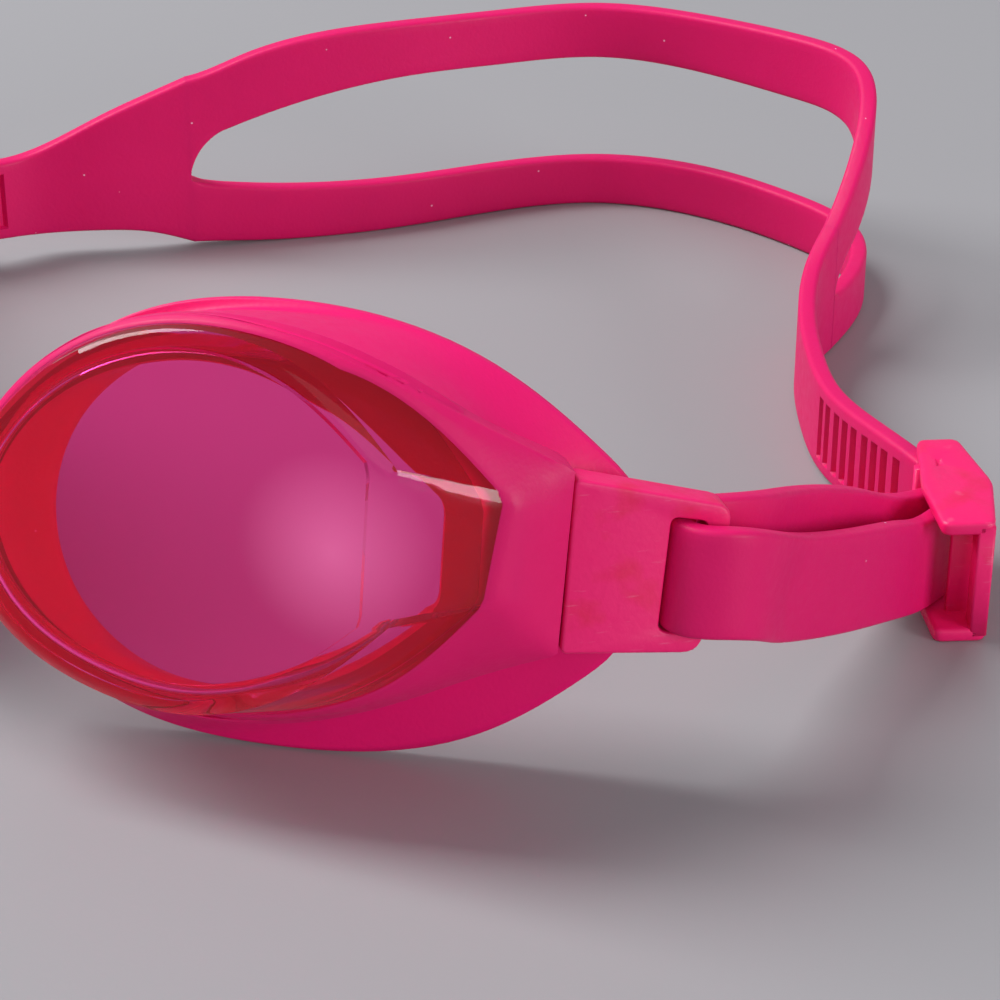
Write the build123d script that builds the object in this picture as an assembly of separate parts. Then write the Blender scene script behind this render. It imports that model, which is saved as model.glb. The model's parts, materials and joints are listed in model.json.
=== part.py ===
from build123d import *
import math
import os

# Swim goggles standing on a table, in millimetres.
# +X is the wearer's left, +Y is from the lenses to the back of the head, +Z is up.
# The origin is under the middle of the whole object, on the surface it stands on.
# The left eyecup is drawn in its own frame (u to the temple, v up, w forward) and mirrored for the right.

# Eyecup frame
CUP_PLACE = (32.4, -6.0, 27.1)      # middle of the lens's front face
CUP_WRAP = 16.0                     # turn towards the temple, degrees
CUP_LEAN = 10.0                     # backward lean, degrees

# Eyecup outlines: extents from the cup's axis to the temple, nose, top and bottom,
# then the upper and lower ends of the straight temple side
FRONT = (16.0, 21.0, 15.2, 17.0, 7.4, -5.8)     # flat front face of the lens
BACK = (24.6, 24.2, 16.4, 19.8, 3.8, -4.2)      # back edge of the lens
NECK = (23.2, 22.8, 15.0, 18.4, 3.8, -4.2)      # gasket where it seats in the frame
WAIST = (23.8, 23.4, 15.6, 21.0, 4.2, -7.5)     # gasket half way back
LIP = (29.3, 23.0, 15.0, 25.0, 3.0, -10.5)      # edge of the gasket that meets the face
FRONT_DEPTH = 0.0
BACK_DEPTH = -8.0
NECK_DEPTH = -8.1
WAIST_DEPTH = -11.2
LIP_DEPTH = -13.4
WAIST_SLOPE = 7.0                   # the waist and the lip run deeper towards the temple, degrees
LIP_SLOPE = 12.0
LENS_WALL = 2.0
GASKET_WALL = 1.6
FIT_GAP = 0.05                      # clearance round pieces that seat in each other
SEAT_OVERLAP = 0.1                  # where the lens's seat in the frame starts, above the lens's back edge
SEAT_DEPTH = 0.4
CUT_REACH = 0.3                     # how far the cutter for the gasket's seat runs past its ends
HOLE_REACH = 0.5                    # how far the gasket's hole is cut past its ends
BEYOND = 60.0                       # past the whole eyecup

# Frame: a ring round the lens, and a web that narrows to the seam with the clip
FRAME_WALL = 1.1
FRAME_FRONT = -3.5                  # front edge of the frame above and below the lens
FRAME_FRONT_TEMPLE = -6.6
FRAME_SLOPE = (12.0, 22.8)          # the front edge deepens to the temple between these places in u
FRAME_BACK = -9.0
WEB_START = (10.0, 28.0, 4.0)       # u, height and thickness where the web leaves the ring
WEB_DEPTH = -7.5

# Temple clip, along the line that it follows from the frame
SEAM = (27.2, -2.3, -12.4)          # (u, v, w) of the middle of the seam's outer edge
TEMPLE_ANGLE = 34.0                 # the clip's turn back from the lens's face, degrees
TEMPLE_DROOP = 8.0                  # the clip's turn down, degrees
CLIP_LENGTH = 12.6
CLIP_THICKNESS = 3.2
CLIP_HEIGHT = 15.6                  # at the seam
CLIP_END_HEIGHT = 12.8
SLOT_START = 6.6
SLOT_LENGTH = 4.2
SLOT_HEIGHT = 9.8
CLIP_CORNER = 1.2
TONGUE = (2.8, 8.0, 1.1)            # length, height and thickness of the clip's snap tongue
BARB = (1.0, 0.8)                   # length and height of the tongue's barb

# Nose bridge
BRIDGE_MIDDLE = (0, -9.8, 22.4)
BRIDGE_BOW = 1.2                    # its ends lie this far behind its middle
BRIDGE_REACH = 9.0
BRIDGE_HEIGHT = 8.0
BRIDGE_THICKNESS = 2.8
TAB = (3.6, 8.4, 5.0, 1.2)          # start and end in x, height and thickness of the frame's tab in the bridge
TAB_Y = -9.0

# Strap
STRAP_WIDTH = 9.4
STRAP_THICKNESS = 1.8
STRAP_STEP = 1.8                    # distance between sections of the strap
LOOP_PATH = [(0.8, -2.9), (-1.6, -2.6), (-2.3, 0.0), (-1.6, 2.6), (0.8, 2.9)]   # round the clip's bar

# Buckles, in their own frame: s along the plate from the far end, n outwards, z up
LEFT_BUCKLE = ((58.6, 65.4, 0.0), -48.7)    # place of the far end, and direction of s in degrees
RIGHT_BUCKLE = ((60.5, 51.8, 2.2), -67.0)   # mirrored like every piece on the right
BUCKLE_HEIGHT = 12.4
BUCKLE_PLATE = 1.2
BUCKLE_OUTLINE = [(0, -1.9), (8.1, -2.8), (15.6, -2.3), (15.6, 2.4), (8.1, 3.6), (0, 1.9)]
BUCKLE_BARS = [(0.7, 1.3, 1.4, 1.2), (4.3, -2.3, 1.1, 1.0), (14.5, 1.6, 2.2, 1.2)]   # s, n, length, thickness
INNER_PATH = [(-0.9, -2.2), (2.0, -0.9), (4.4, -0.2), (6.2, -1.1), (7.0, -2.4)]       # (s, n) of the strap
OUTER_PATH = [(11.3, -2.6), (9.1, -0.5), (6.8, 1.4), (4.4, 1.85), (2.6, 1.8)]

# The curved part of every outline of the eyecup, as fractions of its extents, between the ends of its straight side
UNIT_OUTLINE = [
    (0.56, 0.87), (0.0, 1.0), (-0.47, 0.80), (-0.84, 0.33), (-1.0, -0.22),
    (-0.84, -0.66), (-0.42, -0.955), (0.0, -1.0), (0.62, -0.70),
]

# The strap behind the head: (x, y) of its middle, then heights of its edges
LEFT_MAIN = [
    ((28.0, 95.0), 0.0, 14.0), ((28.6, 91.5), 0.0, 12.8), ((31.5, 85.5), 0.0, 10.4), ((36.5, 79.0), 0.0, 9.6),
    ((42.8, 72.6), 0.2, 9.6), ((49.5, 68.2), 0.9, 10.3),
]
LOWER_STRAND = [
    ((-42.8, 73.0), 0.6, 8.5), ((-38.6, 77.8), 0.2, 7.0), ((-27.7, 91.5), 0.0, 6.0), ((-21.5, 102.0), 0.0, 5.8),
    ((-13.6, 111.0), 0.0, 5.8), ((-2.0, 115.2), 0.0, 6.0), ((10.0, 115.2), 0.0, 6.0),
    ((20.0, 112.2), 0.0, 6.0), ((25.2, 105.5), 0.0, 6.0), ((28.0, 95.0), 0.0, 6.5),
]
UPPER_STRAND = [
    ((-42.8, 73.0), 8.5, 20.3), ((-38.6, 77.8), 14.6, 22.4), ((-27.7, 91.5), 18.4, 24.8), ((-21.5, 102.0), 18.2, 24.4),
    ((-13.6, 111.0), 18.2, 24.4), ((-2.0, 115.2), 17.8, 24.4), ((10.0, 115.2), 17.8, 25.0),
    ((20.0, 112.2), 17.4, 25.0), ((25.2, 105.5), 13.6, 22.0), ((28.0, 95.0), 6.5, 14.0),
]
RIGHT_MAIN = [
    ((-42.8, 73.0), 0.6, 20.3), ((-46.0, 69.4), 2.2, 18.4), ((-49.5, 65.6), 2.8, 15.0), ((-55.5, 58.4), 3.0, 12.4),
]

# The doubled strap between each buckle and clip: (x, y) of its middle, then the height of its middle
LEFT_INNER = [((60.3, 48.0), 11.2), ((60.3, 37.0), 15.8), ((61.0, 30.0), 18.4)]
LEFT_OUTER = [((64.4, 28.0), 16.8), ((64.8, 34.0), 13.4), ((64.4, 43.0), 9.6), ((64.2, 50.0), 7.2)]
RIGHT_INNER = [((60.2, 38.5), 10.6), ((60.6, 32.5), 14.6)]
RIGHT_OUTER = [((64.8, 28.5), 13.8), ((64.8, 34.5), 9.2)]


def cup_plane():
    """The eyecup's frame: x is u, y is v and z is w."""
    wrap = math.radians(CUP_WRAP)
    lean = math.radians(CUP_LEAN)
    to_temple = (math.cos(wrap), math.sin(wrap), 0)
    forward = (math.sin(wrap) * math.cos(lean), -math.cos(wrap) * math.cos(lean), math.sin(lean))
    return Plane(origin=CUP_PLACE, x_dir=to_temple, z_dir=forward)


def temple_plane():
    """The clip's frame inside the eyecup's: x along the clip, y up, z out of its outer face."""
    angle = math.radians(TEMPLE_ANGLE)
    droop = math.radians(TEMPLE_DROOP)
    along = (math.cos(angle) * math.cos(droop), -math.sin(droop), -math.sin(angle) * math.cos(droop))
    return Plane(origin=SEAM, x_dir=along, z_dir=(math.sin(angle), 0, math.cos(angle)))


def buckle_plane(place):
    """A buckle's frame: x is s, y points outwards from the head, z is up."""
    origin, angle = place
    along = (math.cos(math.radians(angle)), math.sin(math.radians(angle)), 0)
    return Plane(origin=origin, x_dir=along, z_dir=(0, 0, 1))


def outline(extents, grow=0.0):
    """A closed face of the eyecup's outline, spline round the nose and straight at the temple."""
    temple, nose, top, bottom, side_top, side_bottom = extents
    points = [(temple + grow, side_top)]
    for across, up in UNIT_OUTLINE:
        u = across * ((temple if across > 0 else nose) + grow)
        v = up * ((top if up > 0 else bottom) + grow)
        points.append((u, v))
    points.append((temple + grow, side_bottom))
    return make_face(Spline(points) + Line(points[-1], points[0]))


def level(extents, depth, grow=0.0, slope=0.0):
    """An outline at a depth of the eyecup, on a plane that runs deeper to the temple by slope."""
    return Plane((0, 0, depth)).rotated((0, slope, 0)) * outline(extents, grow)


def lens_body(grow=0.0):
    """The lens without its hollow: a dish that widens from its front face to its back edge."""
    return loft([level(BACK, BACK_DEPTH, grow), level(FRONT, FRONT_DEPTH + grow, grow)], ruled=True)


def lens():
    hollow = loft([level(BACK, BACK_DEPTH - FIT_GAP, -LENS_WALL), level(FRONT, FRONT_DEPTH, -LENS_WALL)], ruled=True)
    behind_face = Pos(0, 0, -LENS_WALL - BEYOND) * Box(2 * BEYOND, 2 * BEYOND, 2 * BEYOND)
    return lens_body() - (hollow & behind_face)


def gasket_body(grow=0.0, reach=0.0):
    """The gasket without its hole; reach lengthens it at both ends, to cut with it."""
    neck = level(NECK, NECK_DEPTH + reach, grow)
    waist = level(WAIST, WAIST_DEPTH, grow, WAIST_SLOPE)
    lip = level(LIP, LIP_DEPTH - reach, grow, LIP_SLOPE)
    return loft([lip, waist, neck], ruled=True)


def gasket():
    """The eye seal: a flared skirt, open at both ends."""
    return gasket_body() - gasket_body(-GASKET_WALL, HOLE_REACH)


def tongue(grow=0.0):
    """The clip's snap tongue, and with grow the pocket for it in the frame."""
    length, height, thickness = TONGUE
    barb_length, barb_height = BARB
    middle = -CLIP_THICKNESS / 2
    body = Pos(-length / 2, 0, middle) * Box(length + 2 * grow, height + 2 * grow, thickness + 2 * grow)
    barb = Box(barb_length + 2 * grow, height + 2 * grow, barb_height + 2 * grow)
    return body + Pos(barb_length / 2 - length, 0, middle + thickness / 2) * barb


def temple_clip():
    """A hard loop for the strap: a plate with a slot, and the snap tongue."""
    middle = -CLIP_THICKNESS / 2
    half = CLIP_HEIGHT / 2
    end_half = CLIP_END_HEIGHT / 2
    side = Polyline((0, -half), (CLIP_LENGTH, -end_half), (CLIP_LENGTH, end_half), (0, half), close=True)
    body = extrude(make_face(side), amount=-CLIP_THICKNESS)
    body = fillet(body.faces().sort_by(Axis.X)[-1].edges(), CLIP_CORNER)
    slot = Pos(SLOT_START + SLOT_LENGTH / 2, 0, middle) * Box(SLOT_LENGTH, SLOT_HEIGHT, 3 * CLIP_THICKNESS)
    return temple_plane() * (body - slot + tongue())


def frame_web():
    """The part of the frame that narrows from the lens to the seam with the clip."""
    start_u, start_height, start_thickness = WEB_START
    start = Plane((start_u, SEAM[1], WEB_DEPTH), x_dir=(0, 1, 0), z_dir=(1, 0, 0))
    end = temple_plane() * Plane((0, 0, -CLIP_THICKNESS / 2), x_dir=(0, 1, 0), z_dir=(1, 0, 0))
    return loft([start * Rectangle(start_height, start_thickness),
                 end * Rectangle(CLIP_HEIGHT, CLIP_THICKNESS)], ruled=True)


def ring_body(grow=0.0):
    """The outer shape of the frame's ring, from its back edge to the lens's face."""
    return loft([level(BACK, FRAME_BACK, FRAME_WALL + grow), level(FRONT, FRONT_DEPTH, FRAME_WALL + grow)], ruled=True)


def bridge_tab(grow=0.0):
    """The frame's tab inside the nose bridge, in the object's frame."""
    start, end, height, thickness = TAB
    middle = Pos((start + end) / 2, TAB_Y, BRIDGE_MIDDLE[2])
    return middle * Box(end - start + 2 * grow, thickness + 2 * grow, height + 2 * grow)


def frame():
    """A ring round the lens, with the web, the tab for the bridge and the pocket for the clip's tongue."""
    start, end = FRAME_SLOPE
    profile = Polyline(
        (-BEYOND, FRAME_FRONT), (start, FRAME_FRONT), (end, FRAME_FRONT_TEMPLE), (BEYOND, FRAME_FRONT_TEMPLE),
        (BEYOND, -BEYOND), (-BEYOND, -BEYOND), close=True)
    behind_front = extrude(Plane.XZ.offset(-BEYOND) * make_face(profile), amount=2 * BEYOND)
    body = (ring_body() + frame_web()) & behind_front
    body += cup_plane().location.inverse() * bridge_tab()
    seat = extrude(level(BACK, BACK_DEPTH + SEAT_OVERLAP, FIT_GAP), amount=-SEAT_DEPTH)
    body = body - (lens_body(FIT_GAP) + seat + gasket_body(FIT_GAP, CUT_REACH))
    return body - temple_plane() * tongue(FIT_GAP)


def nose_bridge():
    """A flexible strip between the frames, hollow where their tabs go in."""
    y, z = BRIDGE_MIDDLE[1:]
    edges = []
    for depth in (y - BRIDGE_THICKNESS / 2, y + BRIDGE_THICKNESS / 2):
        ends = depth + BRIDGE_BOW
        edges.append(ThreePointArc((-BRIDGE_REACH, ends), (0, depth), (BRIDGE_REACH, ends)))
    front, back = edges
    plan = make_face(front + back + Line(front @ 0, back @ 0) + Line(front @ 1, back @ 1))
    strip = extrude(Pos(0, 0, z - BRIDGE_HEIGHT / 2) * plan, amount=BRIDGE_HEIGHT)
    filled = cup_plane() * ring_body(FIT_GAP) + bridge_tab(FIT_GAP)
    strip = strip - filled - filled.mirror(Plane.YZ)
    return strip.solids().sort_by(SortBy.VOLUME)[-1]


def buckle(place):
    """A three-bar slide that stands on its lower plate."""
    plate = extrude(make_face(Polyline(*BUCKLE_OUTLINE, close=True)), amount=BUCKLE_PLATE)
    body = plate + Pos(0, 0, BUCKLE_HEIGHT - BUCKLE_PLATE) * plate
    for s, n, length, thickness in BUCKLE_BARS:
        body += Pos(s, n, BUCKLE_HEIGHT / 2) * Box(length, thickness, BUCKLE_HEIGHT - BUCKLE_PLATE)
    return buckle_plane(place) * body


def ribbon(pairs):
    """A strap through pairs of points on its lower and upper edges."""
    low_edge = Spline([low for low, high in pairs])
    high_edge = Spline([high for low, high in pairs])
    count = max(3, round(low_edge.length / STRAP_STEP))
    sections = []
    for index in range(count + 1):
        part = index / count
        low = low_edge.position_at(part, position_mode=PositionMode.PARAMETER)
        high = high_edge.position_at(part, position_mode=PositionMode.PARAMETER)
        along = low_edge.tangent_at(part, position_mode=PositionMode.PARAMETER)
        side = along.cross(high - low).normalized() * (STRAP_THICKNESS / 2)
        sections.append(make_face(Polyline(low - side, low + side, high + side, high - side, close=True)))
    return loft(sections, ruled=True)


def upright(points):
    """Pairs of edge points above each other, from places in plan and two heights."""
    return [(Vector(x, y, low), Vector(x, y, high)) for (x, y), low, high in points]


def between(points):
    """Pairs of edge points above each other, from places in plan and the height of the middle."""
    half = STRAP_WIDTH / 2
    return [(Vector(x, y, middle - half), Vector(x, y, middle + half)) for (x, y), middle in points]


def in_buckle(place, points):
    """Pairs of edge points from (s, n) places in a buckle."""
    low = (BUCKLE_HEIGHT - STRAP_WIDTH) / 2
    plane = buckle_plane(place)
    return [(plane.from_local_coords(Vector(s, n, low)),
             plane.from_local_coords(Vector(s, n, low + STRAP_WIDTH))) for s, n in points]


def round_clip(points):
    """Pairs of edge points from (along, out) places at the clip."""
    cup = cup_plane()
    temple = temple_plane()
    pairs = []
    for along, out in points:
        low = temple.from_local_coords(Vector(along, -STRAP_WIDTH / 2, out))
        high = temple.from_local_coords(Vector(along, STRAP_WIDTH / 2, out))
        pairs.append((cup.from_local_coords(low), cup.from_local_coords(high)))
    return pairs


def doubled_strap(place, inner, outer):
    """The strap through the buckle, to the clip, round its bar and back to its tail in the buckle."""
    bar = (SLOT_START + SLOT_LENGTH + CLIP_LENGTH) / 2
    middle = -CLIP_THICKNESS / 2
    loop = round_clip([(bar + along, middle + out) for along, out in LOOP_PATH])
    return in_buckle(place, INNER_PATH) + between(inner) + loop + between(outer) + in_buckle(place, OUTER_PATH)


def head_strap():
    """One strap: doubled at both temples, and split in two strands behind the head."""
    left = doubled_strap(LEFT_BUCKLE, LEFT_INNER, LEFT_OUTER)
    right = []
    for pair in doubled_strap(RIGHT_BUCKLE, RIGHT_INNER, RIGHT_OUTER):
        right.append(tuple(Vector(-point.X, point.Y, point.Z) for point in pair))
    strands = ribbon(upright(LOWER_STRAND)) + ribbon(upright(UPPER_STRAND))
    return ribbon(upright(LEFT_MAIN) + left) + strands + ribbon(upright(RIGHT_MAIN) + right)


def write_parts():
    place = cup_plane()
    parts = {}
    for name, shape in (("lens", lens()), ("gasket", gasket()), ("frame", frame()), ("temple_clip", temple_clip())):
        parts["left_" + name] = place * shape
        parts["right_" + name] = (place * shape).mirror(Plane.YZ)
    parts["nose_bridge"] = nose_bridge()
    parts["head_strap"] = head_strap()
    parts["left_buckle"] = buckle(LEFT_BUCKLE)
    parts["right_buckle"] = buckle(RIGHT_BUCKLE).mirror(Plane.YZ)
    box = Compound(list(parts.values())).bounding_box()
    middle = box.center()
    move = Pos(-middle.X, -middle.Y, -box.min.Z)
    os.makedirs("parts", exist_ok=True)
    for name, shape in parts.items():
        export_step(move * shape, f"parts/{name}.step")


write_parts()
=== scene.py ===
import json
import math

import bmesh
import bpy
import numpy as np
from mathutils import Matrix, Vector


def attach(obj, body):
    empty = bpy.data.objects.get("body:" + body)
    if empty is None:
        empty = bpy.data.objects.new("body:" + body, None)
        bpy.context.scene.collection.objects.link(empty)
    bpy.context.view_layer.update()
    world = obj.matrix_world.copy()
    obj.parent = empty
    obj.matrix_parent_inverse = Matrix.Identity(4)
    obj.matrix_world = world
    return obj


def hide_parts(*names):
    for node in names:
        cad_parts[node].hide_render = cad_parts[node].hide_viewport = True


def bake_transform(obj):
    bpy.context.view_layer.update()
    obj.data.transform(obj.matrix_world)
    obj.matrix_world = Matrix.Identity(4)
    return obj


# Swim goggles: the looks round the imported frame. Shapes are drawn in millimetres in the design's own frame:
# +X the wearer's left, +Y to the back of the head, +Z up. The bridge's hinge gives its place in the row.

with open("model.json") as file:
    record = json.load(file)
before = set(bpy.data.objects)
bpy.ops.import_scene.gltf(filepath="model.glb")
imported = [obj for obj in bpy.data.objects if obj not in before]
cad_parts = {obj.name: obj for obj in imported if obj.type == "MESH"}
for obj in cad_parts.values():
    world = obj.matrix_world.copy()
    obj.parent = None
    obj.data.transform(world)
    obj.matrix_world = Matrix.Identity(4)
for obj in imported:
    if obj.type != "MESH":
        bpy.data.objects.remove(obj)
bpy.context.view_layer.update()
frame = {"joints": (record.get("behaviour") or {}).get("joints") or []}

MM = 0.001
HINGE = next(joint for joint in frame["joints"] if joint["name"] == "bridge_flex")
BRIDGE_MIDDLE = np.array([0.0, -9.8, 22.4])
DATUM = np.array(HINGE["pos_m"]) - MM * BRIDGE_MIDDLE

# Bodies of the frame
LEFT, RIGHT, LEFT_SLIDE, RIGHT_SLIDE = "left_side", "right_side", "left_slide", "right_slide"

# Eyecup frame: u to the temple, v up, w forward
CUP_PLACE = np.array([32.4, -6.0, 27.1])
CUP_WRAP = math.radians(16)
CUP_LEAN = math.radians(10)

# Extents of an eyecup outline: temple, nose, top, bottom, then the ends of its straight temple side
FRONT = (16.0, 21.0, 15.2, 16.8, 7.4, -5.8)
BACK = (24.6, 24.2, 16.4, 19.8, 3.8, -4.2)

# Lens: its front outline grows into the back one over its depth
LENS_DEPTH = 8.0
LENS_WALL = 2.0
LENS_BEVEL = 1.1
LENS_STEP = 0.42            # the rim lies this far below the flat face
LENS_SHOULDER = 0.06        # and steps down to it over this width
RIM_CORNER = (-0.42, -0.38)  # depth and growth of the loop that the rounded rim bends round
RIM_BACK = -1.0
LENS_BEND = -3.1            # the inner wall bends from here to the inner face
INNER_ROUND = 0.9
LENS_EDGE = 0.06            # flat round the edges of the lens
HOLD = 0.05                 # between two loops that keep an edge crisp
# Painted reflection on the lens: emission brightens it round this middle (u, v, w), over this radius
PAINTED_REFLECTION_MIDDLE = (12.2, -0.2, 0.0)
PAINTED_REFLECTION_RADIUS = 8.2

# Shape that all the eyecup's outlines share, as shares of their extents
BROW = 0.87                 # how high an outline still is half-way to the temple
OPENING_BROW = 0.70         # the same of the gasket's opening, which falls sooner
UNIT_OUTLINE = [
    (0.56, BROW), (0.0, 1.0), (-0.47, 0.80), (-0.84, 0.33), (-1.0, -0.22),
    (-0.86, -0.69), (-0.44, -0.975), (0.0, -1.0), (0.62, -0.70),
]
CURVE_SAMPLES = 120
SIDE_SAMPLES = 13
CORNER = 0.06               # share of the straight side that each of its corners cuts off
SOFT = 4                    # smoothing passes for the corners of soft pieces

# Frame: how deep its front edge lies on the lens, from the temple's top round the nose to its bottom
FRAME_FRONT = (-6.9, -3.0, -2.0, -2.6, -3.0, -3.5, -4.2, -5.4, -7.0, -6.9, -6.1)
# The loop of its back edge, from the seam's top round the nose to the seam's bottom, as (u, v, w)
FRAME_EDGE = [
    (27.2, 5.6, -12.4), (20.0, 9.8, -7.8), (12.3, 13.5, -4.7), (6.4, 15.2, -3.5), (0.0, 16.0, -3.0),
    (-5.7, 15.0, -3.0), (-10.8, 12.9, -3.1), (-15.5, 9.4, -3.3), (-19.2, 5.3, -3.6), (-22.0, 0.6, -3.9),
    (-23.2, -4.2, -4.4), (-22.6, -9.4, -4.9), (-20.6, -13.8, -5.4), (-16.3, -17.4, -5.9),
    (-10.8, -19.8, -6.5), (-5.5, -20.5, -7.1), (0.0, -20.5, -7.7), (8.2, -18.9, -8.8), (16.1, -15.4, -9.9),
    (21.5, -12.6, -11.0), (26.9, -10.3, -12.4),
]
FRAME_TUCK = 0.9            # the frame's back edge runs this far under the gasket
FRAME_FIT = 0.02            # between the lens and the frame's front and hidden edges
FRAME_WALL = 0.25           # the frame's thickness where it is thinnest
FRAME_SHOULDER = (0.5, 0.42)  # how far behind its front edge, and how far out, the frame's shoulder lies
FRAME_CREST = 0.12          # how far behind its front edge it reaches its thinnest
FRAME_CROWN = 0.2           # the frame bulges this much towards the temple
CROWN_BLEND = (5, 15)       # from this u on, over this length
SEAM_BLEND = (12, 14)       # its back edge turns into the clip's thickness from this u on, over this length
FRAME_ROUND = 0.2           # share of its back edge's width that is rounded over
GASKET_FLUSH = 0.07         # share of it that the gasket leaves bare
SMOOTH_PASSES = 6

# Gasket
WAIST = (24.0, 23.4, 14.6, 20.9, 4.0, -8.2)
FLARE = (26.8, 22.8, 14.1, 23.1, 3.4, -9.6)
LIP_SLOPE = 12
LIP_ROUND = 0.7
EYE_MIDDLE = np.array([2.0, -5.0])
# How deep each loop of the gasket lies, and by how many degrees it slopes to the temple
GASKET_LEVEL = {
    "opening_top": -7.05, "flange": -7.2, "opening": -7.6, "seat": -8.2, "opening_back": -9.2, "waist": -10.2,
    "flare": -12.6, "skirt": -13.2, "lip": -13.4, "edge": -14.0, "lip_back": -14.6,
}
GASKET_SLOPE = {"waist": 9, "flare": 11, "skirt": 10, "opening_back": 2}
OPENING_ROUND = 0.35
SEAT_GROW = 0.3             # the flange widens by this on its way back
# Edge of the lip, as (u, v), in the order of the outlines
LIP = [
    (30.4, 2.0), (16.8, 11.8), (0.0, 14.7), (-10.9, 12.3), (-19.3, 5.4), (-23.0, -5.0),
    (-19.8, -16.2), (-10.2, -23.2), (0.0, -24.8), (17.8, -21.8), (30.0, -12.0),
]
SKIRT = (24.5, 17.6, 12.4, 19.8, 3.6, -6.6)
OPENING_BACK = (18.6, 19.0, 11.4, 17.6, 3.2, -5.8)
OPENING = (18.1, 20.9, 11.3, 17.3, 3.0, -5.9)
FLANGE = (21.6, 22.0, 14.2, 17.7, 3.4, -4.6)

# Band of painted shade on the flange, under the lens: its depth at the opening and at the flange's rim
BAND_LEVELS = (-7.0, -7.14)
BAND_INSET = 0.05
BAND_THICKNESS = 0.1

# Temple clip, in its own frame: x along it, y up, z out of its face
SEAM = np.array([27.2, -2.3, -12.4])
TEMPLE_ANGLE = math.radians(34)
TEMPLE_DROOP = math.radians(8)
CLIP_LENGTH = 12.6
CLIP_THICKNESS = 3.2
CLIP_HALF = 7.8
CLIP_TOP_HALF = 7.1         # above the middle at the seam
CLIP_END_HALF = 6.4
SEAM_LEAN = 1.0             # the seam leans this far either way from square across the clip
SEAM_GAP = 0.09
SLOT_START = 6.6
SLOT_LENGTH = 4.2
SLOT_HALF = 4.9
SLOT_LEAN = 2.1             # the slot's inner end leans with the seam
CLIP_RADII = (0.6, 1.5, 1.5, 0.6)
SLOT_RADIUS = 0.7
# The clip's rounded edges: how far in from its rim each loop lies, and how high
CLIP_EDGE = [(0.32, 0), (0.14, -0.05), (0.04, -0.16), (0.0, -0.35), (0.0, -2.85), (0.08, -3.1), (0.3, -3.2)]
SLOT_EDGE_SHARE = 0.6

# Bridge: x, y, z, height and thickness of its sections
BRIDGE_BOW = [
    (-9.6, -8.4, 22.4, 9.0, 3.2), (-6.4, -9.4, 22.4, 8.2, 3.0), (0, -10.0, 22.6, 6.6, 2.6),
    (6.4, -9.4, 22.4, 8.2, 3.0), (9.6, -8.4, 22.4, 9.0, 3.2),
]
BRIDGE_RADIUS = 1.1

# Buckles, in their own frame: s from the far end, n outwards, z up
LEFT_BUCKLE = ((58.6, 65.4, 0.0), -48.7)
RIGHT_BUCKLE = ((60.5, 51.8, 2.2), -67.0)
BUCKLE_HEIGHT = 12.4
BUCKLE_PLATE = 1.3
BUCKLE_OUTLINE = [(0, -1.9), (8.1, -2.8), (15.6, -2.3), (15.6, 2.4), (8.1, 3.6), (0, 1.9)]
BUCKLE_RADIUS = 0.9
# Three bars and the wall of the far window: middle (s, n), length along s, thickness along n
BUCKLE_BARS = [(0.7, 1.3, 1.4, 1.2), (4.3, -2.3, 1.1, 1.0), (14.5, 1.7, 2.2, 1.6), (12.0, 1.0, 0.8, 3.4)]
BAR_RADIUS = 0.3
BAR_SINK = 0.6              # the bars run this far into the plates
PLATE_ROUND = [(0.4, 0), (0.12, 0.08), (0, 0.3)]  # inset and height of the loops round a plate's edge
BUCKLE_DIMPLE = np.array([4.5, -0.7])
DIMPLE_PROFILE = [(0.75, 0), (0.6, 0.08), (0.35, 0.25), (0.1, 0.32)]  # radius and depth
# Ways of the strap through a buckle, as (s, n)
INNER_PATH = [(-0.9, -2.2), (2.0, -0.9), (4.4, -0.2), (6.2, -1.1), (7.0, -2.4)]
OUTER_PATH = [(11.3, -2.6), (9.1, -0.5), (6.8, 1.4), (4.4, 1.85), (2.6, 1.8)]

# Strap: (x, y) of its middle, then the heights of its edges
STRAP_WIDTH = 9.4
STRAP_THICKNESS = 1.8
STRAP_EDGE = 0.5
SHARP_EDGE = 0.02
EDGE_STEPS = 4              # per rounded corner of a section
SIDE_STEP = 0.3             # between sections of the side straps
CROTCH_REACH = 4.2          # the split strands close on each other, round, over this length
CROTCH_SLOPE = 1.4          # how much lower the upper strand's lower edge would be, further on past a crotch
CROTCH_DROP = 1.8           # how much lower its upper edge would be, past the left one
CROTCH_BLUNT = 1.5          # the edges are sharp where the strands meet, and round from this far on
STRAND_STEP = 0.15
STRAND_SKIP = 4             # away from the crotches only every fourth section is drawn
CROTCH_HEIGHTS = (8.4, 6.6)  # at the wearer's right and left end of the split
RIB_PITCH = 1.9
RIB_MARGIN = 1.3
GROOVE_WIDTH = 0.85
GROOVE_DEPTH = 0.6
GROOVE_SLOPE = 0.2
FIRST_GROOVE = 0.6          # from the buckle
GROOVES = {"left": 9, "right": 3}
LEFT_MAIN = [
    ((28.0, 95.0), 0.0, 14.4), ((28.6, 91.5), 0.0, 12.6), ((31.5, 85.5), 0.0, 10.4), ((36.5, 79.0), 0.0, 9.6),
    ((42.8, 72.6), 0.2, 9.6), ((49.5, 68.2), 0.9, 10.3),
]
LOWER_STRAND = [
    ((-42.8, 73.0), 0.6, 7.7), ((-38.6, 77.8), 0.2, 7.0), ((-27.7, 91.5), 0.0, 6.0),
    ((-21.5, 102.0), 0.0, 5.8), ((-13.6, 111.0), 0.0, 5.8), ((-2.0, 115.2), 0.0, 6.0),
    ((10.0, 115.2), 0.0, 6.0), ((20.0, 112.2), 0.0, 6.0), ((25.2, 105.5), 0.0, 6.0), ((28.0, 95.0), 0.0, 6.0),
]
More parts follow.
